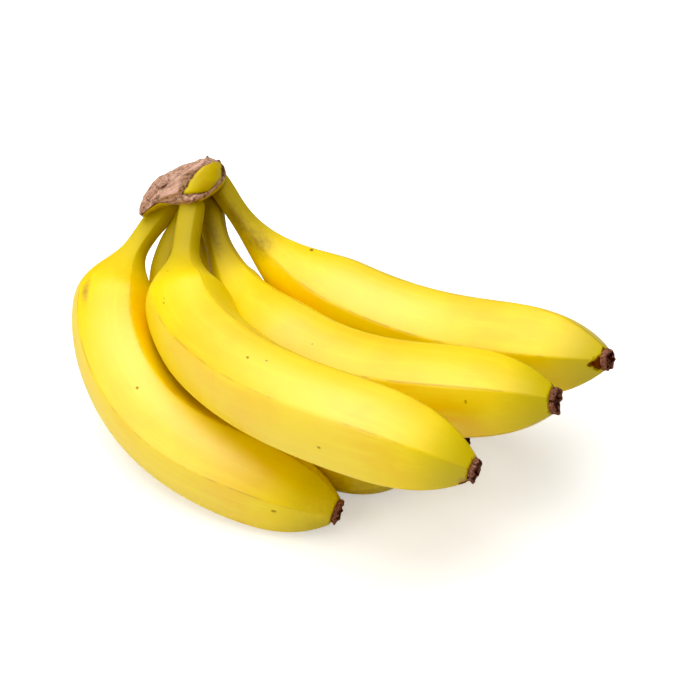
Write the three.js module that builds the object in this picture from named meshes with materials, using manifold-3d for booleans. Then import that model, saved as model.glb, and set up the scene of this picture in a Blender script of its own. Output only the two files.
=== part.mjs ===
// A bunch of six bananas on one crown, lying on the backs of its fingers.
// Millimetres, +Z up. The surface that it lies on is z = 0.

import * as THREE from 'three';
import { mergeVertices } from 'three/addons/utils/BufferGeometryUtils.js';
import Module from 'manifold-3d';

const wasm = await Module();
wasm.setup();

// ---------------------------------------------------------------------------
// Driving dimensions
// ---------------------------------------------------------------------------

const touchGap = 0.3; // left between two pieces that touch

// A finger's mesh: five flats with four faces each, and rings along its length.
const fingerSides = 20;
const fingerRings = 32;
const spineSteps = 128;

// Where a finger bends, as shares of its length from the crown to the tip.
const bendSpans = {
  neck: { from: 0, to: 0.38 },
  body: { from: 0.2, to: 0.8 },
  tip: { from: 0.6, to: 1.05 },
  side: { from: 0.1, to: 0.9 },
};

// Where it narrows towards the tip, and how suddenly. The peel ends at "to".
const tipTaper = { from: 0.62, to: 0.975, power: 4.6 };

// The peel's five ridges. Their height is a share of the radius, and grows towards the tip.
const ridgeCount = 5;
const ridgeHeight = { body: 0.08, tip: 0.14, from: 0.5, to: 0.95 };
const ridgeMean = 0.31; // of the section between its flats, 0, and its ridges, 1
const crestPull = 0.5; // how closely a section's corners gather at its ridges

// A finger's end inside the crown, as a share of its stalk's radius.
const tuckedEnd = 0.5;

// Where a stalk that widens into the crown does so, as shares of its finger's length.
const flareSpan = { from: -0.01, to: 0.07 };

// Each finger leaves the crown at "root" and reaches back into it by "reach". "heading" turns
// it about Z from +X, "pitch" lifts it above level and "lean" turns the plane that it bends in
// about its own line. The bends are whole angles in degrees. "stalkEnd" and "shoulder" are
// shares of its length, where the stalk starts to swell and where the body is full. "flare" is
// how much the stalk widens into the crown, as a share of its radius.
// "ridgeTurn" is where its first ridge runs, from the inner side of the bend.
const fingers = {
  1: {
    root: [-93.5, 62, 75], reach: 10, heading: -134, pitch: -28.5, lean: 98, length: 204,
    bends: { neck: 47, body: 58, tip: 0, side: -10 },
    stalkRadius: 5.2, girthRadius: 19.3, tipRadius: 5.7,
    stalkEnd: 0.10, shoulder: 0.24, flare: 0.15, ridgeTurn: 50,
  },
  2: {
    root: [-79.5, 50.5, 85.5], reach: 4, heading: -101, pitch: -36, lean: 45, length: 216.5,
    bends: { neck: 54, body: 23, tip: -5, side: -34 },
    stalkRadius: 5.8, girthRadius: 19.1, tipRadius: 5.3,
    stalkEnd: 0.09, shoulder: 0.22, flare: 0, ridgeTurn: 16,
  },
  3: {
    root: [-73, 62, 74], reach: 10, heading: -71, pitch: -32, lean: 36, length: 211,
    bends: { neck: 34, body: 31, tip: 0, side: -16 },
    stalkRadius: 5, girthRadius: 18.9, tipRadius: 5.9,
    stalkEnd: 0.02, shoulder: 0.39, flare: 0.45, ridgeTurn: 6,
  },
  4: {
    root: [-68, 64.5, 88.5], reach: 3, heading: -41, pitch: -45, lean: 37, length: 213,
    bends: { neck: 30, body: 31, tip: 0, side: 26 },
    stalkRadius: 5, girthRadius: 19.6, tipRadius: 4.8,
    stalkEnd: 0.07, shoulder: 0.38, flare: 0.1, ridgeTurn: 7,
  },
  5: {
    root: [-85, 59, 68.5], reach: 15, heading: -131, pitch: -41, lean: 110, length: 184,
    bends: { neck: 78, body: 10, tip: 22, side: 17 },
    stalkRadius: 6.2, girthRadius: 17, tipRadius: 4.8,
    stalkEnd: 0.17, shoulder: 0.36, flare: 0.1, ridgeTurn: 0,
  },
  6: {
    root: [-76, 68.5, 72.3], reach: 12, heading: -81, pitch: -77, lean: 41, length: 187,
    bends: { neck: 58, body: 29, tip: 0, side: -4 },
    stalkRadius: 6.2, girthRadius: 17.5, tipRadius: 5,
    stalkEnd: 0.10, shoulder: 0.24, flare: 0.1, ridgeTurn: 0,
  },
};

// Where fingers press on each other, one later in this list gives way to an earlier one.
const cuttingOrder = [2, 1, 3, 4, 5, 6];

// The dry end of the flower on each tip.
const blossomEnd = { length: 3.4, sides: 10, rings: 3, flare: 0.9, ragged: 0.12 };

// The crown: a thick curved cushion with a flat cut that faces "cutFacing". It is pointed at
// its left, and fullest where share ** lean is a half. Its knuckle, where the nearest stalk
// grows from it, stands "out" at a share of its length and some degrees round it.
const crown = {
  left: [-102.6, 53, 79], peak: [-90.4, 64.8, 92], right: [-64.6, 65.2, 92.6],
  halfHeight: 9, halfDepth: 15.5, squareness: 2.6, endSize: 0.12, lean: 2,
  sides: 24, rings: 16,
  uprightHint: [-0.1, 0.6, 0.75],
  cutFacing: [-0.42, 0.18, 0.89], cutAt: [-84.3, 53.7, 100],
  knuckle: { share: 0.62, degrees: 140, out: 4, long: 0.2, round: 35 },
};

const blockSize = 400; // of the blocks that cut flat faces, larger than the bunch

// The middle of the bunch's footprint, which the exported frame has as its origin.
const footprintMiddle = [-15.2, -12.4, 0];

// ---------------------------------------------------------------------------
// Materials
// ---------------------------------------------------------------------------

const peel = () => new THREE.MeshStandardMaterial({ color: '#f4d620', roughness: 0.42, metalness: 0 });
const dryEnd = () => new THREE.MeshStandardMaterial({ color: '#3a241a', roughness: 0.95, metalness: 0 });
const crownSkin = () => new THREE.MeshStandardMaterial({ color: '#b89a3c', roughness: 0.7, metalness: 0 });

// ---------------------------------------------------------------------------
// Curves and sections
// ---------------------------------------------------------------------------

const radians = THREE.MathUtils.degToRad;

function smoothShare(value, span) {
  return THREE.MathUtils.smoothstep(value, span.from, span.to);
}

// The three directions of a finger where it leaves the crown: forward along it, inward to
// the side that it bends to, and across both.
function rootFrame(finger) {
  const heading = radians(finger.heading);
  const pitch = radians(finger.pitch);
  const lean = radians(finger.lean);
  const forward = new THREE.Vector3(
    Math.cos(heading) * Math.cos(pitch),
    Math.sin(heading) * Math.cos(pitch),
    Math.sin(pitch),
  );
  const level = new THREE.Vector3(-Math.sin(heading), Math.cos(heading), 0);
  const upright = new THREE.Vector3().crossVectors(forward, level);
  const inward = upright.multiplyScalar(Math.cos(lean)).addScaledVector(level, Math.sin(lean));
  const across = new THREE.Vector3().crossVectors(forward, inward);
  return { forward, inward, across };
}

// The direction of a finger at a share of its length, and the inward direction there.
function directionAt(finger, frame, share) {
  const { neck, body, tip, side } = finger.bends;
  const turn = radians(
    neck * smoothShare(share, bendSpans.neck)
    + body * smoothShare(share, bendSpans.body)
    + tip * smoothShare(share, bendSpans.tip),
  );
  const sway = radians(side * smoothShare(share, bendSpans.side));
  const forward = frame.forward.clone().multiplyScalar(Math.cos(turn) * Math.cos(sway))
    .addScaledVector(frame.inward, Math.sin(turn) * Math.cos(sway))
    .addScaledVector(frame.across, Math.sin(sway));
  const inward = frame.inward.clone().multiplyScalar(Math.cos(turn))
    .addScaledVector(frame.forward, -Math.sin(turn));
  return { forward, inward };
}

// Places and directions along a finger, evenly spaced from its root to its tip.
function spineOf(finger) {
  const frame = rootFrame(finger);
  const step = finger.length / spineSteps;
  const point = new THREE.Vector3(...finger.root);
  const stations = [];
  for (let i = 0; i <= spineSteps; i += 1) {
    const { forward, inward } = directionAt(finger, frame, i / spineSteps);
    const across = new THREE.Vector3().crossVectors(forward, inward).normalize();
    stations.push({ point: point.clone(), forward, inward, across });
    const middle = directionAt(finger, frame, (i + 0.5) / spineSteps).forward;
    point.addScaledVector(middle, step);
  }
  return stations;
}

// The radius of a finger: a thin stalk, a shoulder, an even body and a narrow tip.
function radiusAt(finger, share) {
  const { stalkRadius, girthRadius, tipRadius, stalkEnd, shoulder, flare } = finger;
  const swell = smoothShare(share, { from: stalkEnd, to: shoulder });
  const body = stalkRadius + (girthRadius - stalkRadius) * swell;
  const past = THREE.MathUtils.clamp((share - tipTaper.from) / (tipTaper.to - tipTaper.from), 0, 1);
  const wider = 1 + flare * (1 - smoothShare(share, flareSpan));
  return body * wider - (body - tipRadius) * past ** tipTaper.power;
}

// A five-sided section, as a factor on the radius: flat between ridges, sharp at them.
function ridgeFactor(angle, share) {
  const flatTurn = Math.PI / ridgeCount;
  const ridges = angle / (2 * flatTurn);
  const fromRidge = Math.abs(ridges - Math.round(ridges)) * 2 * flatTurn;
  const flatRadius = Math.cos(flatTurn);
  const crest = (flatRadius / Math.cos(flatTurn - fromRidge) - flatRadius) / (1 - flatRadius);
  const { body, tip } = ridgeHeight;
  const height = body + (tip - body) * smoothShare(share, ridgeHeight);
  return 1 + height * (crest - ridgeMean);
}

// ---------------------------------------------------------------------------
// Solids
// ---------------------------------------------------------------------------

// A closed cylinder whose every vertex is moved to where "place" puts it. "place" gets the
// share along the cylinder, the angle round it, and 1 on its wall or 0 on its axis.
function shapedCylinder(sides, rings, place) {
  const geometry = new THREE.CylinderGeometry(1, 1, 1, sides, rings);
  const positions = geometry.attributes.position;
  const vertex = new THREE.Vector3();
  for (let i = 0; i < positions.count; i += 1) {
    vertex.fromBufferAttribute(positions, i);
    const out = Math.round(Math.hypot(vertex.x, vertex.z));
    const moved = place(0.5 - vertex.y, Math.atan2(vertex.z, vertex.x), out);
    positions.setXYZ(i, moved.x, moved.y, moved.z);
  }
  geometry.deleteAttribute('normal');
  geometry.deleteAttribute('uv');
  return mergeVertices(geometry, 1e-3);
}

function onSection(station, angle, distance) {
  return station.point.clone()
    .addScaledVector(station.inward, Math.cos(angle) * distance)
    .addScaledVector(station.across, Math.sin(angle) * distance);
}

// The station at a share of a finger's length. Before its root, a finger runs on straight.
function stationAt(stations, share, length) {
  if (share >= 0) {
    return stations[Math.round(share * spineSteps)];
  }
  const root = stations[0];
  const point = root.point.clone().addScaledVector(root.forward, share * length);
  return { ...root, point };
}

// A finger's solid, wider all round by "margin" where it serves to cut its neighbours.
function fingerGeometry(finger, margin) {
  const stations = spineOf(finger);
  const ridgeTurn = radians(finger.ridgeTurn);
  const start = -finger.reach / finger.length;
  return shapedCylinder(fingerSides, fingerRings, (part, evenAngle, out) => {
    const angle = evenAngle - crestPull * Math.sin(ridgeCount * evenAngle) / ridgeCount;
    const share = start + part * (tipTaper.to - start);
    const tuck = share < 0 ? 1 - (1 - tuckedEnd) * (share / start) ** 2 : 1;
    const radius = radiusAt(finger, share) * ridgeFactor(angle, share) * tuck + margin;
    return onSection(stationAt(stations, share, finger.length), angle + ridgeTurn, radius * out);
  });
}

function toSolid(geometry) {
  const mesh = new wasm.Mesh({
    numProp: 3,
    vertProperties: new Float32Array(geometry.attributes.position.array),
    triVerts: new Uint32Array(geometry.index.array),
  });
  return new wasm.Manifold(mesh);
}

function toGeometry(solid) {
  const mesh = solid.getMesh();
  const geometry = new THREE.BufferGeometry();
  geometry.setAttribute('position', new THREE.BufferAttribute(mesh.vertProperties, 3));
  geometry.setIndex(new THREE.BufferAttribute(mesh.triVerts, 1));
  return geometry;
}

// Everything on the side of a plane that its direction points to.
function halfSpace(pointOnPlane, facing) {
  const block = new THREE.BoxGeometry(blockSize, blockSize, blockSize);
  const turn = new THREE.Quaternion().setFromUnitVectors(new THREE.Vector3(0, 0, 1), facing);
  const centre = pointOnPlane.clone().addScaledVector(facing, blockSize / 2);
  block.applyMatrix4(new THREE.Matrix4().compose(centre, turn, new THREE.Vector3(1, 1, 1)));
  block.deleteAttribute('normal');
  block.deleteAttribute('uv');
  return toSolid(mergeVertices(block, 1e-3));
}

function crownGeometry(margin) {
  const path = new THREE.QuadraticBezierCurve3(
    new THREE.Vector3(...crown.left),
    new THREE.Vector3(...crown.peak),
    new THREE.Vector3(...crown.right),
  );
  const hint = new THREE.Vector3(...crown.uprightHint);
  return shapedCylinder(crown.sides, crown.rings, (share, angle, out) => {
    const forward = path.getTangentAt(share);
    const across = new THREE.Vector3().crossVectors(forward, hint).normalize();
    const upright = new THREE.Vector3().crossVectors(across, forward);
    const bulge = Math.sqrt(1 - (2 * share ** crown.lean - 1) ** 2);
    const size = crown.endSize + (1 - crown.endSize) * bulge;
    const rounder = 2 / crown.squareness;
    const upShare = Math.sign(Math.cos(angle)) * Math.abs(Math.cos(angle)) ** rounder;
    const sideShare = Math.sign(Math.sin(angle)) * Math.abs(Math.sin(angle)) ** rounder;
    const { knuckle } = crown;
    const along = (share - knuckle.share) / knuckle.long;
    const round = (THREE.MathUtils.radToDeg(angle) - knuckle.degrees) / knuckle.round;
    const swell = knuckle.out * Math.exp(-(along ** 2) - round ** 2);
    const high = ((crown.halfHeight * size + margin) * upShare + swell * Math.cos(angle)) * out;
    const deep = ((crown.halfDepth * size + margin) * sideShare + swell * Math.sin(angle)) * out;
    return path.getPointAt(share).addScaledVector(upright, high).addScaledVector(across, deep);
  });
}

function crownSolid(margin) {
  const facing = new THREE.Vector3(...crown.cutFacing).normalize();
  const cutAt = new THREE.Vector3(...crown.cutAt).addScaledVector(facing, margin);
  return toSolid(crownGeometry(margin)).subtract(halfSpace(cutAt, facing));
}

function blossomEndGeometry(finger) {
  const stations = spineOf(finger);
  const base = stationAt(stations, tipTaper.to, finger.length);
  return shapedCylinder(blossomEnd.sides, blossomEnd.rings, (share, angle, out) => {
    const ragged = 1 + blossomEnd.ragged * Math.cos(ridgeCount * angle + 1) * share;
    const radius = finger.tipRadius * blossomEnd.flare * ragged;
    const along = touchGap + share * blossomEnd.length;
    return onSection(base, angle, radius * out).addScaledVector(base.forward, along);
  });
}

// ---------------------------------------------------------------------------
// The bunch
// ---------------------------------------------------------------------------

const bunch = new THREE.Group();
bunch.position.set(...footprintMiddle).negate();

function addPiece(name, solid, material) {
  const mesh = new THREE.Mesh(toGeometry(solid), material);
  mesh.name = name;
  bunch.add(mesh);
}

const below = halfSpace(new THREE.Vector3(0, 0, 0), new THREE.Vector3(0, 0, -1));
addPiece('crown', crownSolid(0), crownSkin());

const cutters = [crownSolid(touchGap), below];
for (const number of cuttingOrder) {
  let solid = toSolid(fingerGeometry(fingers[number], 0));
  for (const cutter of cutters) {
    solid = solid.subtract(cutter);
  }
  addPiece(`banana_${number}`, solid, peel());
  addPiece(`blossom_end_${number}`, toSolid(blossomEndGeometry(fingers[number])), dryEnd());
  cutters.push(toSolid(fingerGeometry(fingers[number], touchGap)));
}

export default bunch;
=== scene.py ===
import math

import bpy
import numpy as np
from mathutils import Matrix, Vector, noise


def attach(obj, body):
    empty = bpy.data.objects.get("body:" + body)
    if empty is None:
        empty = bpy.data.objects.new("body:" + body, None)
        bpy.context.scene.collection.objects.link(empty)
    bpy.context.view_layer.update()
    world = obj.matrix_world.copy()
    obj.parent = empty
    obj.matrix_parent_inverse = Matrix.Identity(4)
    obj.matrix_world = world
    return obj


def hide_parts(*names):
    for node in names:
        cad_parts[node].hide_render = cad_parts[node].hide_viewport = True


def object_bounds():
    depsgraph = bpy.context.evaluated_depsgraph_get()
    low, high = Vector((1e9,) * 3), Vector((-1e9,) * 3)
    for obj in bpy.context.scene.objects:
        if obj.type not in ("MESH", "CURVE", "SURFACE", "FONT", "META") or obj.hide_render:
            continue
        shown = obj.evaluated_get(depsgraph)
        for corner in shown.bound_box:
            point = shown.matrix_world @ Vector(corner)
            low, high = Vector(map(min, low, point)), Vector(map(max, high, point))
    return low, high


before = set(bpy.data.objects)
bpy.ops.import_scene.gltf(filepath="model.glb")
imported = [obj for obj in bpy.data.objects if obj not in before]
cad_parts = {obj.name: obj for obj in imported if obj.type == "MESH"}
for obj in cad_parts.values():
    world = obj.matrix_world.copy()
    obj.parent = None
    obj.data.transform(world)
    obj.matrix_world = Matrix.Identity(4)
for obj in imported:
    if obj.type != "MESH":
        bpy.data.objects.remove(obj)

bl_info = {
    "name": "Bunch of bananas",
    "version": (1, 0, 0),
    "blender": (4, 5, 0),
    "location": "View3D > Sidebar > Bananas",
    "description": "Models the peel, dry ends and cut crown of a bunch of six bananas",
    "category": "Object",
}

CAD_BOX = [list(corner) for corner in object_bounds()]
MM = 0.001  # metres in a millimetre

# ---------------------------------------------------------------------------
# Driving dimensions, in millimetres and degrees
# ---------------------------------------------------------------------------

FOOTPRINT_MIDDLE = (-15.2, -12.4, 0)  # the frame's origin, in the coordinates of the places below

# Each finger leaves the crown at "root" and reaches back into it by "reach". "heading" turns it
# about Z from +X, "pitch" lifts it above level and "lean" turns the plane that it bends in about
# its own line. "bends" are whole angles at the neck, body and tip, and to the side. "stalk_end"
# and "shoulder" are shares of its length, where it starts to swell and where it is full.
# "flare" is how much the stalk widens into the crown, as a share of its radius. "ridge_turn" is
# where its first ridge runs, from the inner side of the bend. The last setting is how far its stalk
# has gone from yellow to olive brown, partly its own browning and partly painted shade.
FINGERS = {
    1: dict(
        root=(-93.5, 62, 75), reach=10, heading=-134, pitch=-28.5, lean=98, length=204,
        bends=(47, 58, 0, -10), stalk=5.2, girth=19.3, tip=5.7,
        stalk_end=0.10, shoulder=0.24, flare=0.15, ridge_turn=50, dull_and_shade=0,
    ),
    2: dict(
        root=(-79.5, 50.5, 85.5), reach=4, heading=-101, pitch=-36, lean=45, length=216.5,
        bends=(54, 23, -5, -34), stalk=5.8, girth=19.1, tip=5.3,
        stalk_end=0.09, shoulder=0.22, flare=0, ridge_turn=16, dull_and_shade=0.25,
    ),
    3: dict(
        root=(-73, 62, 74), reach=10, heading=-71, pitch=-32, lean=36, length=211,
        bends=(34, 31, 0, -16), stalk=5, girth=18.9, tip=5.9,
        stalk_end=0.02, shoulder=0.39, flare=0.45, ridge_turn=6, dull_and_shade=0.45,
    ),
    4: dict(
        root=(-68, 64.5, 88.5), reach=3, heading=-41, pitch=-45, lean=37, length=213,
        bends=(30, 31, 0, 26), stalk=5, girth=19.6, tip=4.8,
        stalk_end=0.07, shoulder=0.38, flare=0.1, ridge_turn=7, dull_and_shade=0.4,
    ),
    5: dict(
        root=(-85, 59, 68.5), reach=15, heading=-131, pitch=-41, lean=110, length=184,
        bends=(78, 10, 22, 17), stalk=6.2, girth=17, tip=4.8,
        stalk_end=0.17, shoulder=0.36, flare=0.1, ridge_turn=0, dull_and_shade=0.3,
    ),
    6: dict(
        root=(-76, 68.5, 72.3), reach=12, heading=-81, pitch=-77, lean=41, length=187,
        bends=(58, 29, 0, -4), stalk=6.2, girth=17.5, tip=5,
        stalk_end=0.10, shoulder=0.24, flare=0.1, ridge_turn=0, dull_and_shade=0.4,
    ),
}

# What time left on the peel, and a few patches of painted shade and light. Each mark is at a share
# of a finger's length and some degrees round it, reaches "long" and "wide" to each side of that, and has
# the colour of that name.
MARKS = {
    1: (
        dict(share=0.244, degrees=112, long=7, wide=2.4, colour="scar", strength=0.8),
        dict(share=0.30, degrees=35, long=32, wide=12, colour="gold", strength=0.8),
        dict(share=0.491, degrees=81, long=0.9, wide=0.8, colour="bruise", strength=0.8),
        dict(share=0.866, degrees=135, long=1.3, wide=0.8, colour="bruise", strength=0.7),
        # A yellow patch on the tip's upper side: its own less green skin, and painted light where
        # banana_2 shades it.
        dict(share=0.95, degrees=92, long=26, wide=14, colour="body", strength=1),
    ),
    2: (
        dict(share=0.515, degrees=54, long=0.9, wide=0.8, colour="bruise", strength=0.8),
        dict(share=0.711, degrees=129, long=1.1, wide=0.9, colour="bruise", strength=0.7),
        dict(share=0.970, degrees=146, long=4.6, wide=2.4, colour="scar", strength=0.8),
        dict(share=0.969, degrees=160, long=6, wide=1.2, colour="burnt", strength=0.9),
    ),
    3: (
        # Olive brown down the side of the stalk next to banana_2: its own browning and painted shade.
        dict(share=0.05, degrees=62, long=18, wide=4, colour="dull_and_shade", strength=0.9),
        dict(share=0.83, degrees=96, long=0.5, wide=0.9, colour="bruise", strength=0.6),
    ),
    4: (
        # Olive brown on the stalk's side: its own browning and painted shade.
        dict(share=0.08, degrees=98, long=20, wide=4.5, colour="dull_and_shade", strength=0.8),
        dict(share=0.15, degrees=80, long=10, wide=7, colour="dull_and_shade", strength=0.7),
        dict(share=0.252, degrees=12, long=1.1, wide=1.1, colour="bruise", strength=0.8),
        dict(share=0.926, degrees=78, long=0.9, wide=0.8, colour="bruise", strength=0.6),
        dict(share=0.978, degrees=97, long=5.5, wide=3.2, colour="burnt", strength=0.95),
        dict(share=0.964, degrees=94, long=11, wide=1.3, colour="burnt", strength=0.9),
    ),
    5: (
        # Painted shade, olive brown, on the underside that lies under banana_2.
        dict(share=0.89, degrees=137, long=26, wide=12, colour="dull_and_shade", strength=0.5),
    ),
}

SOFT_COLOURS = ("body", "gold", "dull_and_shade", "scar")  # of marks that fade out, as others end at an edge
DRY_COLOURS = ("bruise", "burnt")  # of marks that have no wax
MARK_ENDS, SOFT_FULL, SHARP_FULL = 1.7, 0.2, 1.25  # where a mark ends and is full, in its own sizes

# Where a peel's colour and wax change, as shares of a finger's length.
STALK_SPAN, DULL_AND_SHADE_SPAN, GREEN_SPAN = (0.22, 0.06), (0.2, 0.08), (0.86, 0.97)
DRY_EDGE_SPAN = (0.989, 0.995)
WAX_STARTS, WAX_ENDS = (0.2, 0.42), (0.92, 0.72)
WAX_THIN, WAX_THICK, WAX_LEAST = 0.45, 1.0, 0.1

# Where two fingers press on each other, the later one in this order gives way.
YIELD_ORDER = (2, 1, 3, 4, 5, 6)
TOUCH_GAP = 0.3

# Where a finger bends, as shares of its length: the neck, the body, the tip and to the side.
BEND_SPANS = ((0, 0.38), (0.2, 0.8), (0.6, 1.05), (0.1, 0.9))

# Where it narrows towards its tip, and how suddenly. The peel ends at TAPER_TO.
TAPER_FROM, TAPER_TO, TAPER_POWER = 0.62, 0.975, 4.6
TUCKED_END, TUCK_POWER = 0.7, 8  # of a stalk's radius, inside the crown, and how suddenly
FLARE_SPAN = (-0.01, 0.07)  # where a stalk widens into the crown, as shares of its length

RIDGES = 5
RIDGE_MEAN = 0.31  # of the section between its flats, 0, and its ridges, 1
RIDGES_GROW = (0.5, 0.95)  # where they become higher, as shares of a finger's length
CREST_PULL = 0.5  # how closely a section's corners gather at its ridges
SIDES = 40  # of a finger's section, eight for each ridge
BODY_RINGS, TIP_RINGS = 36, 14
EDGE_SHARE = 0.003  # of a finger's length, from its end to the ring that keeps that end's edge
TIP_RINGS_FROM = 0.8
SPINE_STEPS = 128


def smooth_share(value, start, end):
    """0 before start, 1 after end, and a smooth step between them."""
    part = np.clip((np.asarray(value, float) - start) / (end - start), 0, 1)
    return part * part * (3 - 2 * part)


def root_frame(finger):
    """The directions along, inward of the bend and across, where a finger leaves the crown."""
    heading, pitch, lean = (math.radians(finger[key]) for key in ("heading", "pitch", "lean"))
    forward = np.array([
        math.cos(heading) * math.cos(pitch),
        math.sin(heading) * math.cos(pitch),
        math.sin(pitch),
    ])
    level = np.array([-math.sin(heading), math.cos(heading), 0])
    upright = np.cross(forward, level)
    inward = upright * math.cos(lean) + level * math.sin(lean)
    return forward, inward, np.cross(forward, inward)


def directions(finger, shares):
    """The forward and inward directions at some shares of a finger's length, a row for each."""
    forward, inward, across = root_frame(finger)
    angles = [
        np.radians(angle) * smooth_share(shares, *span)
        for angle, span in zip(finger["bends"], BEND_SPANS)
    ]
    turn = (angles[0] + angles[1] + angles[2])[:, None]
    sway = angles[3][:, None]
    ahead = (
        forward * np.cos(turn) * np.cos(sway)
        + inward * np.sin(turn) * np.cos(sway)
        + across * np.sin(sway)
    )
    inner = inward * np.cos(turn) - forward * np.sin(turn)
    return ahead, inner


def spine(finger):
    """Points and directions along a finger, evenly spaced from its root to its tip, in metres."""
    shares = np.arange(SPINE_STEPS + 1) / SPINE_STEPS
    ahead, inner = directions(finger, shares)
    middles, _ = directions(finger, shares[:-1] + 0.5 / SPINE_STEPS)
    step = finger["length"] * MM / SPINE_STEPS
    root = (np.array(finger["root"]) - FOOTPRINT_MIDDLE) * MM
    points = root + np.vstack([np.zeros(3), np.cumsum(middles * step, axis=0)])
    across = np.cross(ahead, inner)
    across /= np.linalg.norm(across, axis=1)[:, None]
    return points, ahead, inner, across


def radius_at(finger, shares):
    """The radius at some shares of a finger's length: stalk, shoulder, body and narrow tip."""
    swell = smooth_share(shares, finger["stalk_end"], finger["shoulder"])
    body = finger["stalk"] + (finger["girth"] - finger["stalk"]) * swell
    wider = 1 + finger["flare"] * (1 - smooth_share(shares, *FLARE_SPAN))
    past = np.clip((np.asarray(shares) - TAPER_FROM) / (TAPER_TO - TAPER_FROM), 0, 1)
    radius = body * wider - (body - finger["tip"]) * past**TAPER_POWER
    start = -finger["reach"] / finger["length"]
    tuck = 1 - (1 - TUCKED_END) * np.clip(np.asarray(shares) / start, 0, 1) ** TUCK_POWER
    return radius * tuck * MM


# ---------------------------------------------------------------------------
# Sizes and colours that a user would change
# ---------------------------------------------------------------------------


class PeelSettings(bpy.types.PropertyGroup):
    ridge_body: bpy.props.FloatProperty(
        name="Ridge height", description="Of the five ridges, as a share of the radius",
        default=0.08, min=0, max=0.3,
    )
    ridge_tip: bpy.props.FloatProperty(
        name="Ridge height at the tip", description="Of the ridges there, as a share of the radius",
        default=0.14, min=0, max=0.3,
    )
    body: bpy.props.StringProperty(
        name="Body colour", description="Colour of the ripe peel", default="#F4D404",
    )
    pale: bpy.props.StringProperty(
        name="Pale colour", description="Colour of the lighter streaks", default="#FAE42A",
    )
    deep: bpy.props.StringProperty(
        name="Deep colour", description="Colour of the riper patches", default="#F2C800",
    )
    gold: bpy.props.StringProperty(
        name="Golden colour", description="Colour of the ripest side of a shoulder",
        default="#EEB600",
    )
    stalk: bpy.props.StringProperty(
        name="Stalk colour", description="Colour of the stalks and the crown's skin",
        default="#CCB404",
    )
    green: bpy.props.StringProperty(
        name="Green colour", description="Colour of the last green at the tips", default="#C6B004",
    )
    # This colour is also the painted shade on the stalks and on banana_5's underside.
    dull_and_shade: bpy.props.StringProperty(
        name="Dull colour", description="Colour of the stalks that turn brown", default="#705600",
    )
    scar: bpy.props.StringProperty(
        name="Scar colour", description="Colour of dry scars and worn ridges", default="#A8763A",
    )
    bruise: bpy.props.StringProperty(
        name="Bruise colour", description="Colour of the specks", default="#7A4A1C",
    )
    burnt: bpy.props.StringProperty(
        name="Dry edge colour", description="Colour of the peel's dry dark edge at the tip",
        default="#5A1A08",
    )


class CrownSettings(bpy.types.PropertyGroup):
    cork: bpy.props.StringProperty(
        name="Cork colour", description="Colour of the dried cut", default="#E4B9A0",
    )
    cork_mid: bpy.props.StringProperty(
        name="Shaded cork colour", description="Colour between the cut's fibres",
        default="#AC7C62",
    )
    # This colour is also the painted shade in the crown's grooves and hollow, and the spikes' dark tips.
    dark_cork_and_shade: bpy.props.StringProperty(
        name="Dark cork colour", description="Colour of the cut's pits and edges",
        default="#4A2612",
    )
    # Paler than the cork beside it: a painted highlight on the raised lip.
    lip: bpy.props.StringProperty(
        name="Lip colour", description="Colour of the torn lip beside the skin",
        default="#E4B8A2",
    )
    skin: bpy.props.StringProperty(
        name="Skin colour", description="Colour of the skin left on the crown",
        default="#C6A604",
    )


class StageSettings(bpy.types.PropertyGroup):
    elevation: bpy.props.FloatProperty(
        name="Camera elevation", description="Camera height above level",
        default=math.radians(42), subtype="ANGLE", unit="ROTATION",
    )
    distance: bpy.props.FloatProperty(
        name="Camera distance", description="From the camera to the middle of the bunch",
        default=760 * MM, subtype="DISTANCE", unit="LENGTH",
    )
    lens: bpy.props.FloatProperty(
        name="Focal length", description="Camera lens, in millimetres", default=92.5,
    )


# ---------------------------------------------------------------------------
# Modelling helpers
# ---------------------------------------------------------------------------


def start_edit(piece):
    """Enter edit mode on one piece alone, with all of it selected."""
    bpy.ops.object.select_all(action="DESELECT")
    piece.select_set(True)
    bpy.context.view_layer.objects.active = piece
    bpy.ops.object.mode_set(mode="EDIT")
    bpy.ops.mesh.select_all(action="SELECT")


def end_edit():
    bpy.ops.object.mode_set(mode="OBJECT")


def apply_modifier(piece, kind, **settings):
    """Add a modifier to a piece and apply it."""
    bpy.context.view_layer.objects.active = piece
    modifier = piece.modifiers.new(kind.title(), kind)
    for key, value in settings.items():
        setattr(modifier, key, value)
    bpy.ops.object.modifier_apply(modifier=modifier.name)


def coordinates(piece):
    """A piece's vertices as an array with a row for each."""
    flat = np.empty(len(piece.data.vertices) * 3)
    piece.data.vertices.foreach_get("co", flat)
    return flat.reshape(-1, 3)


def move_vertices(piece, places):
    piece.data.vertices.foreach_set("co", np.ascontiguousarray(places, dtype=np.float32).ravel())
    piece.data.update()


def store(piece, name, values):
    """Keep a number or a vector for each vertex, for the material to read."""
    values = np.asarray(values, dtype=np.float32)
    kind, key = ("FLOAT_VECTOR", "vector") if values.ndim == 2 else ("FLOAT", "value")
    layer = piece.data.attributes.new(name, kind, "POINT")
    layer.data.foreach_set(key, values.ravel())


def extruded(name, sides, levels, radii):
    """A closed round bar along Z: a circle extruded from level to level and resized at each."""
    bpy.ops.object.select_all(action="DESELECT")
    bpy.ops.mesh.primitive_circle_add(vertices=sides, radius=radii[0], fill_type="NGON")
    piece = bpy.context.active_object
    piece.name = piece.data.name = name
    start_edit(piece)
    bpy.ops.transform.translate(value=(0, 0, levels[0]))
    for below, above, radius, wider in zip(levels, levels[1:], radii, radii[1:]):
        bpy.ops.mesh.extrude_region_move(TRANSFORM_OT_translate={"value": (0, 0, above - below)})
        growth = wider / radius
        bpy.ops.transform.resize(value=(growth, growth, 1), center_override=(0, 0, above))
    bpy.ops.mesh.select_all(action="SELECT")
    bpy.ops.mesh.normals_make_consistent(inside=False)
    end_edit()
    return piece


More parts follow.
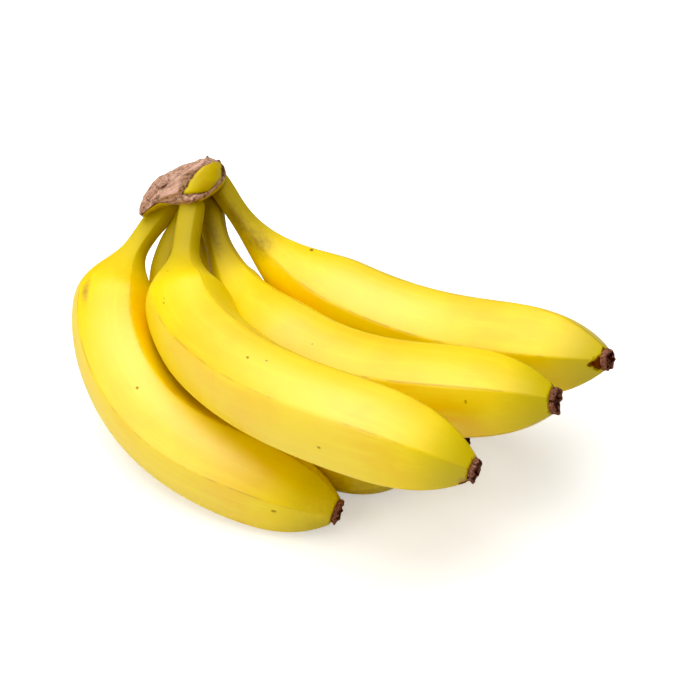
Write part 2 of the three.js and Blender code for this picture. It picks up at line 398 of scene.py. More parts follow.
def bend_along(places, finger, line):
    """Places on a straight finger, moved to where its bent line puts them."""
    points, ahead, inner, across = line
    shares = places[:, 2] / (finger["length"] * MM)
    at = np.clip(shares, 0, 1) * SPINE_STEPS
    steps = np.arange(SPINE_STEPS + 1)

    def between(rows):
        return np.stack([np.interp(at, steps, rows[:, axis]) for axis in range(3)], axis=1)

    over = (shares - np.clip(shares, 0, 1))[:, None] * finger["length"] * MM
    return (
        between(points) + between(ahead) * over
        + between(inner) * places[:, :1] + between(across) * places[:, 1:2]
    )


def push_out(places, finger, line, gap):
    """Move the places that lie inside a neighbour out to its surface."""
    points, _, _, _ = line
    shares = np.arange(SPINE_STEPS + 1) / SPINE_STEPS
    kept = shares <= TAPER_TO
    points, radii = points[kept], radius_at(finger, shares[kept])
    nearest = np.full(len(places), np.inf)
    moved = places.copy()
    for point, radius in zip(points, radii):
        away = places - point
        reach = np.linalg.norm(away, axis=1)
        room = reach - radius - gap
        deeper = (room < 0) & (reach < nearest)
        nearest[deeper] = reach[deeper]
        moved[deeper] = point + away[deeper] / reach[deeper, None] * (radius + gap)
    return moved


# ---------------------------------------------------------------------------
# Materials
# ---------------------------------------------------------------------------


def linear(hex_colour):
    """An sRGB hex colour as linear red, green, blue and alpha."""
    channels = [int(hex_colour[i:i + 2], 16) / 255 for i in (1, 3, 5)]
    return [
        c / 12.92 if c <= 0.04045 else ((c + 0.055) / 1.055) ** 2.4 for c in channels
    ] + [1.0]


def add_node(tree, kind, inputs=None, **settings):
    """Add a node with its settings. An input is a value, or another node's output to link."""
    node = tree.nodes.new(kind)
    for key, value in settings.items():
        setattr(node, key, value)
    for key, value in (inputs or {}).items():
        if isinstance(value, bpy.types.NodeSocket):
            tree.links.new(value, node.inputs[key])
        else:
            node.inputs[key].default_value = value
    return node


def new_material(name):
    """A material with an empty tree and its Principled shader."""
    material = bpy.data.materials.new(name)
    material.use_nodes = True
    tree = material.node_tree
    tree.nodes.clear()
    shader = add_node(tree, "ShaderNodeBsdfPrincipled")
    output = add_node(tree, "ShaderNodeOutputMaterial")
    tree.links.new(shader.outputs["BSDF"], output.inputs["Surface"])
    return material, tree, shader


def mixed(tree, factor, first, second):
    """One colour over another by a factor. Each colour is a list or an output."""
    node = add_node(tree, "ShaderNodeMix", data_type="RGBA")
    for key, value in ((0, factor), (6, first), (7, second)):
        if isinstance(value, bpy.types.NodeSocket):
            tree.links.new(value, node.inputs[key])
        else:
            node.inputs[key].default_value = value
    return node.outputs[2]


def ramp(tree, value, low, high, top=1.0):
    """A value stretched so that low becomes 0 and high becomes top, and held there."""
    node = add_node(
        tree, "ShaderNodeMapRange",
        {"Value": value, "From Min": low, "From Max": high, "To Min": 0.0, "To Max": top},
        interpolation_type="SMOOTHSTEP",
    )
    return node.outputs["Result"]


def math_node(tree, operation, first, second=0.0):
    node = add_node(tree, "ShaderNodeMath", {0: first, 1: second}, operation=operation)
    return node.outputs[0]


def marked(tree, colour, straight, ragged, length, radius, mark, settings):
    """How much of each place a mark covers, ragged at its edge, and the colour with the mark on it."""
    angle = math.radians(mark["degrees"])
    centre = (radius * math.cos(angle), radius * math.sin(angle), mark["share"] * length * MM)
    scale = [1 / (mark[side] * MM) for side in ("wide", "wide", "long")]
    near = add_node(tree, "ShaderNodeMapping", {
        "Vector": straight, "Scale": scale, "Location": [-c * k for c, k in zip(centre, scale)],
    }).outputs["Vector"]
    reach = add_node(tree, "ShaderNodeVectorMath", {"Vector": near}, operation="LENGTH")
    reach = math_node(tree, "ADD", reach.outputs["Value"], ragged)
    full = SOFT_FULL if mark["colour"] in SOFT_COLOURS else SHARP_FULL
    factor = ramp(tree, reach, MARK_ENDS, full, mark["strength"])
    return factor, mixed(tree, factor, colour, linear(getattr(settings, mark["colour"])))


def peel_material(name, settings, number):
    """Ripe banana peel: a waxy satin skin, worn on its ridges, olive at its ends and marked, with some
    painted shade and light on the stalks and among the marks.
    """
    finger = FINGERS[number]
    material, tree, shader = new_material(name)
    straight = add_node(tree, "ShaderNodeAttribute", attribute_name="straight").outputs["Vector"]
    share = add_node(tree, "ShaderNodeAttribute", attribute_name="share").outputs["Fac"]
    crest = add_node(tree, "ShaderNodeAttribute", attribute_name="crest").outputs["Fac"]
    place = add_node(tree, "ShaderNodeTexCoord").outputs["Object"]

    # Broad patches of riper colour, about 30 mm across.
    patches = add_node(tree, "ShaderNodeTexNoise", {
        "Vector": place, "Scale": 1 / (30 * MM), "Detail": 3.0, "Roughness": 0.5,
    }).outputs["Fac"]
    colour = mixed(tree, ramp(tree, patches, 0.4, 0.7), linear(settings.body), linear(settings.deep))

    # Streaks along the fruit, 3 mm wide and 40 mm long.
    stretched = add_node(tree, "ShaderNodeMapping", {
        "Vector": straight, "Scale": (1 / (3 * MM), 1 / (3 * MM), 1 / (40 * MM)),
    }).outputs["Vector"]
    streaks = add_node(tree, "ShaderNodeTexNoise", {
        "Vector": stretched, "Scale": 1.0, "Detail": 4.0, "Roughness": 0.6,
    }).outputs["Fac"]
    colour = mixed(tree, ramp(tree, streaks, 0.45, 0.75, 0.35), colour, linear(settings.pale))

    # Duller skin at the stalk, olive brown on some stalks, partly their own browning and partly painted
    # shade, and the last green before the tip.
    colour = mixed(tree, ramp(tree, share, *STALK_SPAN), colour, linear(settings.stalk))
    dulled_and_shaded = ramp(tree, share, *DULL_AND_SHADE_SPAN, finger["dull_and_shade"])
    colour = mixed(tree, dulled_and_shaded, colour, linear(settings.dull_and_shade))
    colour = mixed(tree, ramp(tree, share, *GREEN_SPAN, 0.85), colour, linear(settings.green))

    # Ridges are worn to a broken brown line.
    breaks = add_node(tree, "ShaderNodeTexNoise", {
        "Vector": place, "Scale": 1 / (9 * MM), "Detail": 3.0,
    }).outputs["Fac"]
    worn = math_node(
        tree, "MULTIPLY", ramp(tree, crest, 0.9, 0.99), ramp(tree, breaks, 0.4, 0.62, 0.4),
    )
    colour = mixed(tree, worn, colour, linear(settings.scar))

    # Small brown specks, about a millimetre across.
    cells = add_node(tree, "ShaderNodeTexVoronoi", {"Vector": place, "Scale": 1 / (9 * MM)})
    size = add_node(tree, "ShaderNodeSeparateColor", {"Color": cells.outputs["Color"]})
    near = math_node(tree, "LESS_THAN", cells.outputs["Distance"],
                     math_node(tree, "MULTIPLY", ramp(tree, size.outputs[0], 0.72, 1.0), 0.075))
    colour = mixed(tree, math_node(tree, "MULTIPLY", near, 0.7), colour, linear(settings.bruise))

    # The dry edge where the peel ends, then scars and patches with ragged edges.
    crumbs = add_node(tree, "ShaderNodeTexNoise", {
        "Vector": place, "Scale": 1 / (1.8 * MM), "Detail": 4.0, "Roughness": 0.6,
    }).outputs["Fac"]
    edge = math_node(tree, "ADD", share, math_node(tree, "MULTIPLY", crumbs, 0.03))
    dry = ramp(tree, edge, *DRY_EDGE_SPAN, 0.9)
    colour = mixed(tree, dry, colour, linear(settings.burnt))
    for mark in MARKS.get(number, ()):
        radius = radius_at(finger, np.array([mark["share"]]))[0]
        factor, colour = marked(
            tree, colour, straight, crumbs, finger["length"], radius, mark, settings,
        )
        if mark["colour"] in DRY_COLOURS:
            dry = math_node(tree, "MAXIMUM", dry, factor)

    tree.links.new(colour, shader.inputs["Base Color"])
    rough = add_node(tree, "ShaderNodeMapRange", {
        "Value": streaks, "To Min": 0.38, "To Max": 0.5,
    }).outputs["Result"]
    rough = math_node(tree, "ADD", rough, ramp(tree, share, 0.25, 0.1, 0.25))
    tree.links.new(rough, shader.inputs["Roughness"])
    shader.inputs["IOR"].default_value = 1.5
    # The wax is thickest on the body, and dry skin has least.
    waxy = math_node(
        tree, "MULTIPLY", ramp(tree, share, *WAX_STARTS), ramp(tree, share, *WAX_ENDS),
    )
    wax = add_node(tree, "ShaderNodeMapRange", {
        "Value": waxy, "To Min": WAX_THIN, "To Max": WAX_THICK,
    }).outputs["Result"]
    wax = math_node(tree, "MAXIMUM", math_node(tree, "SUBTRACT", wax, dry), WAX_LEAST)
    tree.links.new(wax, shader.inputs["Specular IOR Level"])
    shader.inputs["Specular Tint"].default_value = (1, 1, 0.92, 1)
    shader.inputs["Subsurface Weight"].default_value = 0.12
    shader.inputs["Subsurface Radius"].default_value = (1.0, 0.6, 0.1)
    shader.inputs["Subsurface Scale"].default_value = 3 * MM

    # Fine pores and lengthwise fibres.
    pores = add_node(tree, "ShaderNodeTexNoise", {
        "Vector": place, "Scale": 1 / (0.9 * MM), "Detail": 2.0,
    }).outputs["Fac"]
    relief = math_node(tree, "ADD", math_node(tree, "MULTIPLY", pores, 0.3), streaks)
    bump = add_node(tree, "ShaderNodeBump", {
        "Height": relief, "Strength": 0.15, "Distance": 0.3 * MM,
    })
    tree.links.new(bump.outputs["Normal"], shader.inputs["Normal"])
    return material


def dry_end_material():
    """Dried flower remnant: reddish brown, matt and crumbly, with paler fibres and painted shade in its
    dents and hollow.
    """
    material, tree, shader = new_material("dried flower remnant")
    straight = add_node(tree, "ShaderNodeAttribute", attribute_name="straight").outputs["Vector"]
    pit_shade = add_node(tree, "ShaderNodeAttribute", attribute_name="pit_shade").outputs["Fac"]
    stretched = add_node(tree, "ShaderNodeMapping", {
        "Vector": straight, "Scale": (1 / (0.7 * MM), 1 / (0.7 * MM), 1 / (2 * MM)),
    }).outputs["Vector"]
    fibres = add_node(tree, "ShaderNodeTexNoise", {
        "Vector": stretched, "Scale": 1.0, "Detail": 5.0, "Roughness": 0.7,
    }).outputs["Fac"]
    colour = mixed(tree, ramp(tree, fibres, 0.35, 0.6), linear("#4E2A1C"), linear("#98644E"))
    colour = mixed(tree, ramp(tree, fibres, 0.6, 0.75), colour, linear("#C8967E"))
    # Painted shade, near black, in the dents and the hollow.
    colour = mixed(tree, ramp(tree, pit_shade, 0.3, 0.8, 0.9), colour, linear("#2A1208"))
    tree.links.new(colour, shader.inputs["Base Color"])
    shader.inputs["Roughness"].default_value = 0.9
    shader.inputs["Specular IOR Level"].default_value = 0.2
    bump = add_node(tree, "ShaderNodeBump", {
        "Height": fibres, "Strength": 0.8, "Distance": 0.5 * MM,
    })
    tree.links.new(bump.outputs["Normal"], shader.inputs["Normal"])
    return material


def crown_material(peel, crown):
    """Crown: olive skin and torn, pitted, pinkish dry cork, with a painted highlight on its lip, painted
    shade in its grooves and hollow, and dark spike tips.
    """
    material, tree, shader = new_material("banana crown skin and dry cork")
    place = add_node(tree, "ShaderNodeTexCoord").outputs["Object"]
    cork, lip, shade_and_spike_tips = (
        add_node(tree, "ShaderNodeAttribute", attribute_name=name).outputs["Fac"]
        for name in ("cork", "lip", "shade_and_spike_tips")
    )
    grain = add_node(tree, "ShaderNodeAttribute", attribute_name="grain").outputs["Vector"]

    # Pits and crumbs, 1.6 mm and smaller, and fibres along the crown.
    crumbs = add_node(tree, "ShaderNodeTexNoise", {
        "Vector": place, "Scale": 1 / (1.6 * MM), "Detail": 6.0, "Roughness": 0.75,
    }).outputs["Fac"]
    fibre_place = add_node(tree, "ShaderNodeMapping", {"Vector": grain, "Scale": (9, 16, 16)})
    fibres = add_node(tree, "ShaderNodeTexNoise", {
        "Vector": fibre_place.outputs["Vector"], "Scale": 1.0, "Detail": 5.0, "Roughness": 0.7,
    }).outputs["Fac"]
    dry = mixed(tree, ramp(tree, fibres, 0.35, 0.65), linear(crown.cork_mid), linear(crown.cork))
    # The raised lip is painted paler and less pitted: a painted highlight.
    smooth = ramp(tree, lip, 0.2, 0.9, 0.6)
    dry = mixed(tree, smooth, dry, linear(crown.lip))
    pitted = math_node(tree, "SUBTRACT", ramp(tree, crumbs, 0.53, 0.36, 0.85), smooth)
    dry = mixed(tree, pitted, dry, linear(crown.dark_cork_and_shade))

    # Skin, paler in soft patches.
    patches = add_node(tree, "ShaderNodeTexNoise", {
        "Vector": place, "Scale": 1 / (9 * MM), "Detail": 2.0,
    }).outputs["Fac"]
    skin = mixed(tree, ramp(tree, patches, 0.4, 0.65), linear(peel.stalk), linear(crown.skin))
    ragged = math_node(tree, "ADD", cork, math_node(tree, "MULTIPLY", crumbs, 0.5))
    colour = mixed(tree, ramp(tree, ragged, 0.65, 0.8), skin, dry)
    # Painted shade in the grooves and the hollow, with the spikes' own dark tips, in the dark cork
    # colour.
    edge = math_node(tree, "ADD", shade_and_spike_tips, math_node(tree, "MULTIPLY", crumbs, 0.5))
    colour = mixed(tree, ramp(tree, edge, 0.8, 1.25, 0.9), colour, linear(crown.dark_cork_and_shade))
    tree.links.new(colour, shader.inputs["Base Color"])
    rough_skin = add_node(tree, "ShaderNodeMapRange", {
        "Value": cork, "To Min": 0.5, "To Max": 0.95,
    }).outputs["Result"]
    tree.links.new(rough_skin, shader.inputs["Roughness"])
    shader.inputs["Specular IOR Level"].default_value = 0.3
    height = math_node(tree, "MULTIPLY", math_node(tree, "ADD", crumbs, fibres), cork)
    bump = add_node(tree, "ShaderNodeBump", {
        "Height": height, "Strength": 0.7, "Distance": 0.7 * MM,
    })
    tree.links.new(bump.outputs["Normal"], shader.inputs["Normal"])
    return material


# ---------------------------------------------------------------------------
# Bananas
# ---------------------------------------------------------------------------


def ring_shares(finger):
    """Where a finger's rings stand: even along its body and closer at its tip."""
    start = -finger["reach"] / finger["length"]
    body = np.linspace(start + EDGE_SHARE, TIP_RINGS_FROM, BODY_RINGS, endpoint=False)
    tip = np.linspace(TIP_RINGS_FROM, TAPER_TO - EDGE_SHARE, TIP_RINGS)
    return np.concatenate([[start], body, tip, [TAPER_TO]])


def ridged(places, finger, settings):
    """Round places given a section flat between its ridges, and how near each is to a ridge."""
    even = np.arctan2(places[:, 1], places[:, 0])
    angle = even - CREST_PULL * np.sin(RIDGES * even) / RIDGES
    flat_turn = math.pi / RIDGES
    ridges = angle / (2 * flat_turn)
    from_ridge = np.abs(ridges - np.round(ridges)) * 2 * flat_turn
    flat_radius = math.cos(flat_turn)
    crest = (flat_radius / np.cos(flat_turn - from_ridge) - flat_radius) / (1 - flat_radius)
    towards_tip = smooth_share(places[:, 2] / (finger["length"] * MM), *RIDGES_GROW)
    height = settings.ridge_body + (settings.ridge_tip - settings.ridge_body) * towards_tip
    radius = np.hypot(places[:, 0], places[:, 1]) * (1 + height * (crest - RIDGE_MEAN))
    angle = angle + math.radians(finger["ridge_turn"])
    return np.stack([radius * np.cos(angle), radius * np.sin(angle), places[:, 2]], axis=1), crest


def make_banana(number, finger, settings):
    """A finger extruded straight, ridged, bent along its line and pressed on its neighbours."""
    shares = ring_shares(finger)
    levels = shares * finger["length"] * MM
    fruit = extruded(f"banana_{number}_peel", SIDES, levels, radius_at(finger, shares))
    places, crest = ridged(coordinates(fruit), finger, settings)
    store(fruit, "straight", places)
    store(fruit, "share", places[:, 2] / (finger["length"] * MM))
    store(fruit, "crest", crest)
    places = bend_along(places, finger, spine(finger))
    for other in YIELD_ORDER[:YIELD_ORDER.index(number)]:
        places = push_out(places, FINGERS[other], spine(FINGERS[other]), TOUCH_GAP * MM)
    move_vertices(fruit, np.clip(places, *CAD_BOX))
    apply_modifier(fruit, "SUBSURF", levels=2, render_levels=2)
    fruit.data.shade_smooth()
    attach(fruit, "root")
    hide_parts(f"banana_{number}")
    return fruit


class BUNCH_OT_add_bananas(bpy.types.Operator):
    """Model the six bananas with their stalks"""

    bl_idname = "bunch.add_bananas"
    bl_label = "Add bananas"

    def execute(self, context):
        settings = context.scene.banana_peel
        for number, finger in FINGERS.items():
            fruit = make_banana(number, finger, settings)
            fruit.data.materials.append(peel_material(f"ripe banana peel {number}", settings, number))
        return {"FINISHED"}


# ---------------------------------------------------------------------------
# Dry blossom ends
# ---------------------------------------------------------------------------

# Its outline from the peel's end up its side, over its rim and down into its hollow.
DRY_END_LEVELS = (-0.6, 0.2, 0.6, 1.0, 1.4, 1.8, 2.1, 1.9, 1.5, 1.1, 0.9, 0.8)
DRY_END_RADII = (0.9, 0.94, 0.9, 0.91, 0.94, 0.95, 0.86, 0.72, 0.62, 0.5, 0.3, 0.1)  # of the tip's
DRY_END_SIDES = 32
DRY_END_TOP = 3.4  # where its longest rags end
DRY_END_LUMPS = dict(size=1.3, out=0.2)  # out as a share of the radius
DRY_END_RAGS = dict(rise_from=0.7, rise_to=1.4, along=2.08)
DRY_END_HOLLOW, HOLLOW_SHADE = 0.7, 0.55  # its radius, of the tip's, and how dark the painted shade in it is


def make_dry_end(number, finger):
    """The dried flower remnant on a tip: a short crumbly plug with a ragged rim and a hollow."""
    base = TAPER_TO * finger["length"] * MM
    radii = finger["tip"] * np.array(DRY_END_RADII) * MM
    plug = extruded(
        f"blossom_end_{number}_dry", DRY_END_SIDES, base + np.array(DRY_END_LEVELS) * MM, radii,
    )
    places = coordinates(plug)
    above = places[:, 2] - base
    size = DRY_END_LUMPS["size"] * MM
    sizes = np.array([size, size, 2 * size])
    lumps = np.array([
        noise.fractal(tuple(place / sizes + 5.3 * number), 0.9, 2.1, 3) for place in places
    ])
    places[:, :2] *= 1 + DRY_END_LUMPS["out"] * lumps[:, None]
    rise = smooth_share(above, DRY_END_RAGS["rise_from"] * MM, DRY_END_RAGS["rise_to"] * MM)
    rags = np.array([
        noise.noise((place[0] / size, place[1] / size, 9.1 * number)) for place in places
    ])
    places[:, 2] += DRY_END_RAGS["along"] * MM * rise * rags
    places[:, 2] = np.minimum(places[:, 2], base + DRY_END_TOP * MM)
    store(plug, "straight", places)
    inner = np.hypot(places[:, 0], places[:, 1]) < DRY_END_HOLLOW * finger["tip"] * MM
    # Painted shade: darker in the dents between the lumps and inside the hollow.
    pits = smooth_share(-lumps, 0.1, 0.5) + HOLLOW_SHADE * (inner & (above > 0))
    store(plug, "pit_shade", np.clip(pits, 0, 1))
    move_vertices(plug, bend_along(places, finger, spine(finger)))
    apply_modifier(plug, "SUBSURF", levels=1, render_levels=1)
    plug.data.shade_smooth()
    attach(plug, "root")
    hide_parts(f"blossom_end_{number}")
    return plug


class BUNCH_OT_add_dry_ends(bpy.types.Operator):
    """Model the dried flower remnant on each tip"""

    bl_idname = "bunch.add_dry_ends"
    bl_label = "Add blossom ends"

    def execute(self, context):
        material = dry_end_material()
        for number, finger in FINGERS.items():
            make_dry_end(number, finger).data.materials.append(material)
        return {"FINISHED"}


# ---------------------------------------------------------------------------
# Crown
# ---------------------------------------------------------------------------

CROWN_LEFT, CROWN_PEAK, CROWN_RIGHT = (-102.6, 53, 79), (-90.4, 64.8, 92), (-64.6, 65.2, 92.6)
CROWN_HALF_HEIGHT, CROWN_HALF_DEPTH = 9, 15.5
CROWN_SQUARENESS = 2.6
CROWN_END_SIZE = 0.12
CROWN_LEAN = 2  # it is fullest where share ** lean is a half
CROWN_UPRIGHT_HINT = (-0.1, 0.6, 0.75)
CUT_FACING, CUT_AT = (-0.42, 0.18, 0.89), (-84.3, 53.7, 100)
KNUCKLE = dict(share=0.62, degrees=140, out=4, long=0.2, round=35)  # where a stalk grows from it
CROWN_SIDES, CROWN_RINGS = 112, 80

# Lines on the crown, each as degrees round it at shares of its length. 0 is its upper edge, 90
# its near face and 180 its lower edge. The skin left on it lies between the first two, and dry
# cork reaches down to the third.
SKIN_TOP = ((0.54, 115), (0.65, 96), (0.74, 82), (0.80, 70), (0.88, 52), (0.93, 24), (0.97, 2))
SKIN_FOOT = ((0.54, 115), (0.64, 120), (0.74, 126), (0.84, 129), (0.90, 125), (0.96, 107), (1, 90))
CORK_FOOT = (
    (0, 100), (0.24, 114), (0.34, 152), (0.45, 165), (0.55, 150), (0.65, 142), (0.75, 146),
    (0.82, 152), (0.92, 142), (1, 118),
)
CORK_BACK = -75  # degrees, on the side turned away
LIP = (
    (0.2, 80), (0.30, 94), (0.40, 100), (0.50, 101), (0.60, 84), (0.69, 66), (0.79, 52), (0.90, 22),
)
SKIN_ENDS = 0.98
DEGREES_A_SHARE = 180  # how many degrees round the crown are as long as it is
SAG = dict(at=(0.66, 0), size=(0.2, 50), depth=1.8)  # its top edge, worn down
HOLLOW = dict(at=(0.40, 74), size=(0.10, 17), depth=3.0)
LIP_SIZE = dict(width=10, height=2.6)
SPIKES = ((0.86, 10, 2.2), (0.955, 10, 2.4), (0.985, 30, 2.8), (0.985, 62, 2.2), (0.03, 90, 1.0))
SPIKE_SIZE = (0.012, 4.5)  # in share and degrees
SPIKE_STAIN = 8  # how much more area a spike's dark stain covers than the spike itself
COARSE_GRAIN, FINE_GRAIN = (0.35, 0.22, 3.1), (0.10, 0.12, 7.7)  # across, along and seed
RELIEF = dict(coarse=0.9, fine=0.5, cork=0.4, groove=0.9, foot=0.7, skin=0.6)
EDGE_WIDTH = 4.0  # of the groove by the skin and of the cork's foot, in degrees


def crown_path(share):
    """A point and the direction on the crown's curved axis."""
    left, peak, right = (
        (np.array(p, float) - FOOTPRINT_MIDDLE) * MM for p in (CROWN_LEFT, CROWN_PEAK, CROWN_RIGHT)
    )
    share = share[:, None]
    point = (1 - share) ** 2 * left + 2 * share * (1 - share) * peak + share**2 * right
    ahead = 2 * (1 - share) * (peak - left) + 2 * share * (right - peak)
    return point, ahead / np.linalg.norm(ahead, axis=1)[:, None]


def crown_surface(share, angle, relief):
    """Places on the crown, with a relief outwards in metres."""
    point, ahead = crown_path(share)
    across = np.cross(ahead, CROWN_UPRIGHT_HINT)
    across /= np.linalg.norm(across, axis=1)[:, None]
    upright = np.cross(across, ahead)
    bulge = np.sqrt(1 - (2 * share**CROWN_LEAN - 1) ** 2)
    size = CROWN_END_SIZE + (1 - CROWN_END_SIZE) * bulge
    up, side = (
        np.sign(wave) * np.abs(wave) ** (2 / CROWN_SQUARENESS)
        for wave in (np.cos(angle), np.sin(angle))
    )
    high = (CROWN_HALF_HEIGHT * size * MM)[:, None] * upright * up[:, None]
    deep = (CROWN_HALF_DEPTH * size * MM)[:, None] * across * side[:, None]
    places = point + high + deep
    facing = np.array(CUT_FACING) / np.linalg.norm(CUT_FACING)
    cut_at = (np.array(CUT_AT, float) - FOOTPRINT_MIDDLE) * MM
    over = np.maximum((places - cut_at) @ facing, 0)
    along = (share - KNUCKLE["share"]) / KNUCKLE["long"]
    around = (np.degrees(angle) - KNUCKLE["degrees"]) / KNUCKLE["round"]
    relief = relief + KNUCKLE["out"] * MM * np.exp(-(along**2) - around**2)
    outward = upright * np.cos(angle)[:, None] + across * np.sin(angle)[:, None]
    return places - over[:, None] * facing + outward * relief[:, None]


def line_at(line, share):
    """The degrees round the crown that a line has at some shares of its length."""
    shares, degrees = zip(*line)
    return np.interp(share, shares, degrees)


def dip(place, share, degrees):
    """How near each place is to a dip in the crown, 1 at its middle."""
    (at_share, at_degrees), (long, wide) = place["at"], place["size"]
    return np.exp(-(((share - at_share) / long) ** 2) - ((degrees - at_degrees) / wide) ** 2)


def rough(share, angle, across, along, seed):
    """Smooth noise over the crown, from -1 to 1, its grain "across" and "along" in shares and degrees."""
    return np.array([
        noise.fractal((s / along, math.cos(a) / across, math.sin(a) / across + seed), 0.8, 2.2, 4)
        for s, a in zip(share, angle)
    ])


def make_crown():
    """The crown: a curved cushion with a flat cut, covered in torn dry cork but for one patch."""
    levels = np.linspace(0, 1, CROWN_RINGS)
    cushion = extruded("crown_cushion", CROWN_SIDES, levels, np.ones(CROWN_RINGS))
    places = coordinates(cushion)
    share, angle = np.clip(places[:, 2], 0, 1), np.arctan2(places[:, 1], places[:, 0])
    coarse, fine = rough(share, angle, *COARSE_GRAIN), rough(share, angle, *FINE_GRAIN)
    degrees = np.degrees(angle) + 4 * coarse

    inside = np.minimum(degrees - line_at(SKIN_TOP, share), line_at(SKIN_FOOT, share) - degrees)
    inside = np.minimum(inside, (SKIN_ENDS - share) * DEGREES_A_SHARE)
    inside = np.where(share > SKIN_TOP[0][0], inside, -60)
    skin = smooth_share(inside, -2, 3)
    cork = smooth_share(line_at(CORK_FOOT, share) - degrees, -2, 4) * (1 - skin)
    cork *= smooth_share(degrees, CORK_BACK - 6, CORK_BACK + 6)
    groove = np.exp(-(inside / EDGE_WIDTH) ** 2)
    foot = np.exp(-((line_at(CORK_FOOT, share) - degrees) / EDGE_WIDTH) ** 2) * (share < 0.9)
    from_lip = degrees - line_at(LIP, share)
    lip_ends = smooth_share(share, LIP[0][0], LIP[2][0]) * smooth_share(share, LIP[-1][0], LIP[-2][0])
    lip = np.exp(-(from_lip / LIP_SIZE["width"]) ** 2) * lip_ends
    hollow, sag = dip(HOLLOW, share, degrees), dip(SAG, share, degrees)

    relief = cork * (RELIEF["cork"] + RELIEF["coarse"] * coarse + RELIEF["fine"] * fine)
    relief += RELIEF["skin"] * skin - RELIEF["groove"] * groove - RELIEF["foot"] * foot
    relief += LIP_SIZE["height"] * lip - HOLLOW["depth"] * hollow - SAG["depth"] * sag
    spiky = np.zeros(len(share))
    for at_share, at_degrees, height in SPIKES:
        near = (share - at_share) ** 2 / SPIKE_SIZE[0] ** 2
        near += (np.degrees(angle) - at_degrees) ** 2 / SPIKE_SIZE[1] ** 2
        relief += height * np.exp(-near)
        spiky = np.maximum(spiky, np.exp(-near / SPIKE_STAIN))
    relief *= smooth_share(share, 0, 0.06) * 0.8 + 0.2

    store(cushion, "cork", cork)
    store(cushion, "lip", lip)
    # Painted shade in the groove by the skin, at the cork's foot and in the hollow, and the spikes' own
    # dark tips.
    store(cushion, "shade_and_spike_tips", np.clip(np.maximum.reduce([groove, foot, hollow, spiky]), 0, 1))
    store(cushion, "grain", np.stack([share, np.cos(angle), np.sin(angle)], axis=1))
    move_vertices(cushion, np.clip(crown_surface(share, angle, relief * MM), *CAD_BOX))
    start_edit(cushion)
    bpy.ops.mesh.normals_make_consistent(inside=False)
    end_edit()
    apply_modifier(cushion, "SUBSURF", levels=1, render_levels=1)
    cushion.data.shade_smooth()
    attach(cushion, "root")
    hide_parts("crown")
    return cushion


class BUNCH_OT_add_crown(bpy.types.Operator):
    """Model the crown that joins the stalks"""

    bl_idname = "bunch.add_crown"
    bl_label = "Add crown"

    def execute(self, context):
        scene = context.scene
        make_crown().data.materials.append(crown_material(scene.banana_peel, scene.banana_crown))
        return {"FINISHED"}


# ---------------------------------------------------------------------------
# Stage
# ---------------------------------------------------------------------------

VIEW_TARGET = (-12.5, -5.5, 55.5)  # what the camera and lights point at
SENSOR = 36  # millimetres, across the square picture
BLACK_LEVEL = 0.008  # the darkest tone that the picture shows, which deepens its shades
FLOOR_GLOW = 0.42  # painted glow of the floor, for the camera alone so that it lights nothing, which pales the shadow on it
FLOOR_SIZE = 6  # metres
DAYLIGHT = 0.12  # from all round, beside the lights
LIGHT_SIZE = 1.0  # metres

# Each light's place in metres and its power in watts.
LIGHTS = {
    "softbox": ((-0.15, 0.1, 1.0), 11.2),
    "side fill": ((-0.9, -0.7, 0.7), 7.2),
    "front fill": ((0.7, -0.7, 0.7), 1.6),
}


def aim(item, target):
    """Turn a camera or light, which look along their own -Z, to a point."""
    item.rotation_euler = (Vector(target) - item.location).to_track_quat("-Z", "Y").to_euler()


def add_light(name, location, power, target):
    lamp = bpy.data.lights.new(name, "AREA")
    lamp.size, lamp.energy = LIGHT_SIZE, power
    light = bpy.data.objects.new(name, lamp)
    bpy.context.scene.collection.objects.link(light)
    light.location = location
    aim(light, target)


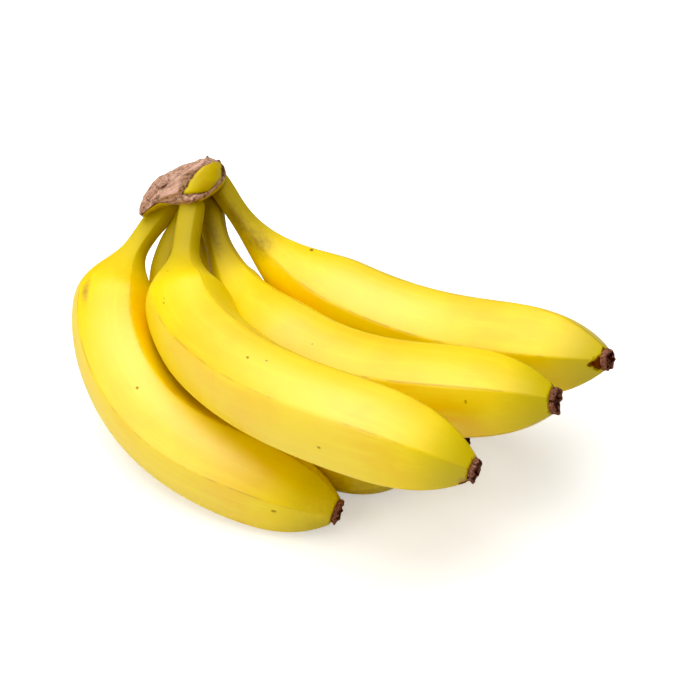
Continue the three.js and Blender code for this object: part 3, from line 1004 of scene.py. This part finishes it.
class BUNCH_OT_add_stage(bpy.types.Operator):
    """Add the pale floor, the soft light and the camera"""

    bl_idname = "bunch.add_stage"
    bl_label = "Add stage"

    def execute(self, context):
        scene, settings = context.scene, context.scene.banana_stage
        bpy.ops.object.select_all(action="DESELECT")
        bpy.ops.mesh.primitive_plane_add(size=FLOOR_SIZE)
        floor = context.active_object
        floor.name = "floor"
        material, tree, shader = new_material("white floor with a painted glow")
        shader.inputs["Base Color"].default_value = linear("#EEEEEC")
        shader.inputs["Roughness"].default_value = 0.9
        shader.inputs["Emission Color"].default_value = linear("#FFFFFF")
        # The floor's painted glow: only the camera sees it, and it pales the bunch's shadow on the floor.
        seen = add_node(tree, "ShaderNodeLightPath").outputs["Is Camera Ray"]
        tree.links.new(
            math_node(tree, "MULTIPLY", seen, FLOOR_GLOW), shader.inputs["Emission Strength"],
        )
        floor.data.materials.append(material)

        target = Vector((np.array(VIEW_TARGET) - FOOTPRINT_MIDDLE) * MM)
        camera_data = bpy.data.cameras.new("camera")
        camera_data.lens, camera_data.sensor_width = settings.lens, SENSOR
        camera_data.clip_start = 0.01
        camera = bpy.data.objects.new("camera", camera_data)
        scene.collection.objects.link(camera)
        back = Vector((0, -math.cos(settings.elevation), math.sin(settings.elevation)))
        camera.location = target + back * settings.distance
        aim(camera, target)
        scene.camera = camera

        for name, (location, power) in LIGHTS.items():
            add_light(name, location, power, target)
        world = bpy.data.worlds.new("soft daylight")
        scene.world = world
        world.use_nodes = True
        background = world.node_tree.nodes["Background"]
        background.inputs["Color"].default_value = (1, 1, 1, 1)
        background.inputs["Strength"].default_value = DAYLIGHT
        scene.view_settings.view_transform = "Standard"
        scene.view_settings.use_curve_mapping = True
        scene.view_settings.curve_mapping.black_level = [BLACK_LEVEL] * 3
        scene.view_settings.curve_mapping.update()
        return {"FINISHED"}


# ---------------------------------------------------------------------------
# Panel and registration
# ---------------------------------------------------------------------------

STEPS = (BUNCH_OT_add_bananas, BUNCH_OT_add_dry_ends, BUNCH_OT_add_crown, BUNCH_OT_add_stage)


class BUNCH_PT_panel(bpy.types.Panel):
    """The steps that make the bunch, and its settings"""

    bl_label = "Bananas"
    bl_idname = "BUNCH_PT_panel"
    bl_space_type = "VIEW_3D"
    bl_region_type = "UI"
    bl_category = "Bananas"

    def draw(self, context):
        for step in STEPS:
            self.layout.operator(step.bl_idname)
        for group in (context.scene.banana_peel, context.scene.banana_crown, context.scene.banana_stage):
            for key in type(group).__annotations__:
                self.layout.prop(group, key)


CLASSES = (PeelSettings, CrownSettings, StageSettings, *STEPS, BUNCH_PT_panel)


def register():
    for item in CLASSES:
        bpy.utils.register_class(item)
    bpy.types.Scene.banana_peel = bpy.props.PointerProperty(type=PeelSettings)
    bpy.types.Scene.banana_crown = bpy.props.PointerProperty(type=CrownSettings)
    bpy.types.Scene.banana_stage = bpy.props.PointerProperty(type=StageSettings)


def unregister():
    del bpy.types.Scene.banana_stage
    del bpy.types.Scene.banana_crown
    del bpy.types.Scene.banana_peel
    for item in reversed(CLASSES):
        bpy.utils.unregister_class(item)


def main():
    register()
    bpy.ops.bunch.add_bananas()
    bpy.ops.bunch.add_dry_ends()
    bpy.ops.bunch.add_crown()
    bpy.ops.bunch.add_stage()


if __name__ == "__main__":
    main()
